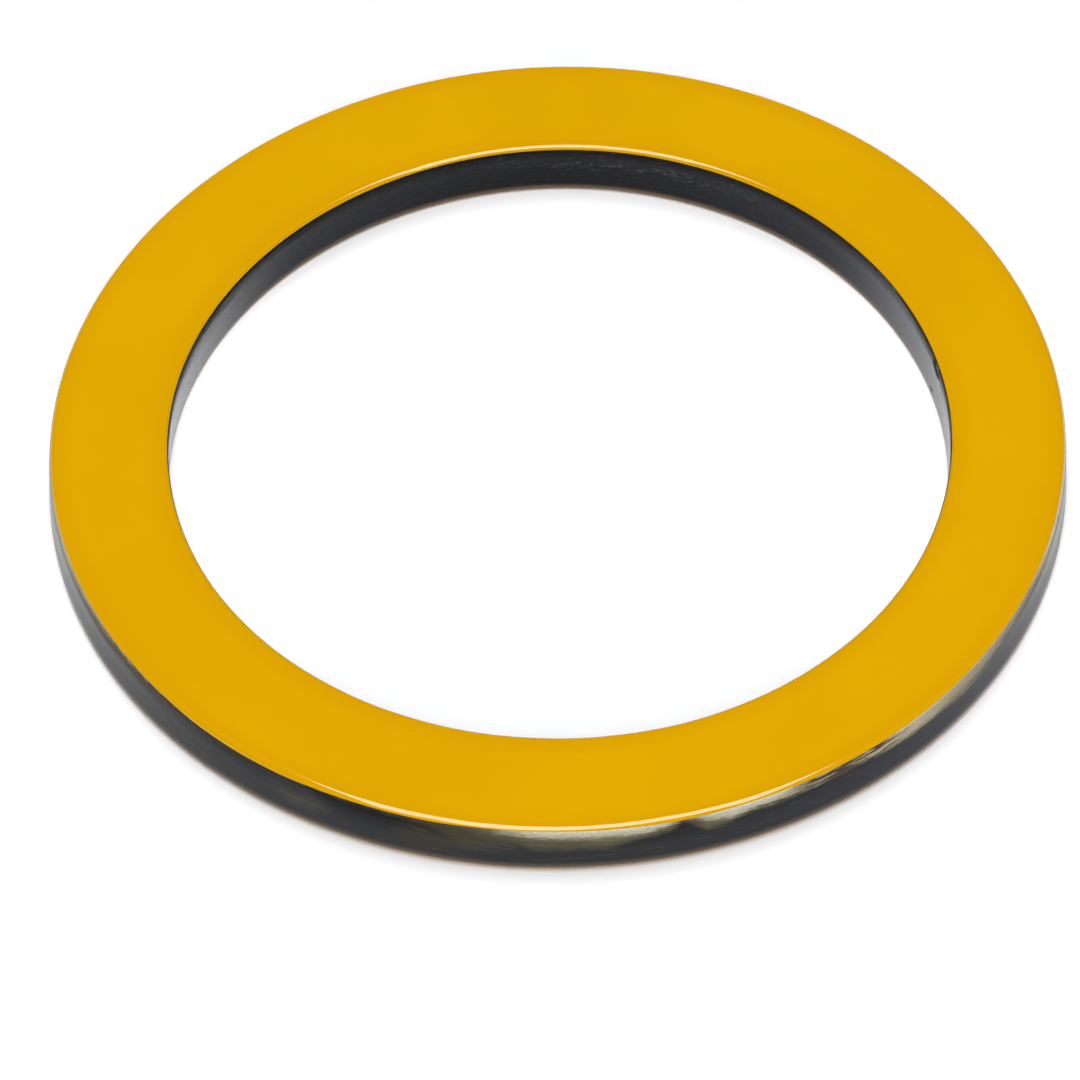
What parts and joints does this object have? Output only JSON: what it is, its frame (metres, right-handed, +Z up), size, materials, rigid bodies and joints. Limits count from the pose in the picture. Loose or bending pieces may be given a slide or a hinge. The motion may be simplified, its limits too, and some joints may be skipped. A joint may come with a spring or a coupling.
{
  "type": "flat bangle",
  "caption": "Rigid flat ring bangle of polished dark horn with a gloss lacquer coat on both faces, worn over the hand on the wrist.",
  "frame": {"origin": "centre of the ring on the surface that it lies on", "axes": "+Z up through the wrist opening, towards the top lacquered face; X and Y are alike, because the ring is round"},
  "size_m": [0.0844, 0.0844, 0.0054],
  "materials": {
    "dark_horn": "satin polished dark buffalo horn with fine streaks and cream marbling",
    "mustard_lacquer": "opaque high gloss lacquer"
  },
  "bodies": {
    "root": {"horn_body": "dark_horn", "top_lacquer": "mustard_lacquer", "underside_lacquer": "mustard_lacquer"}
  },
  "joints": []
}
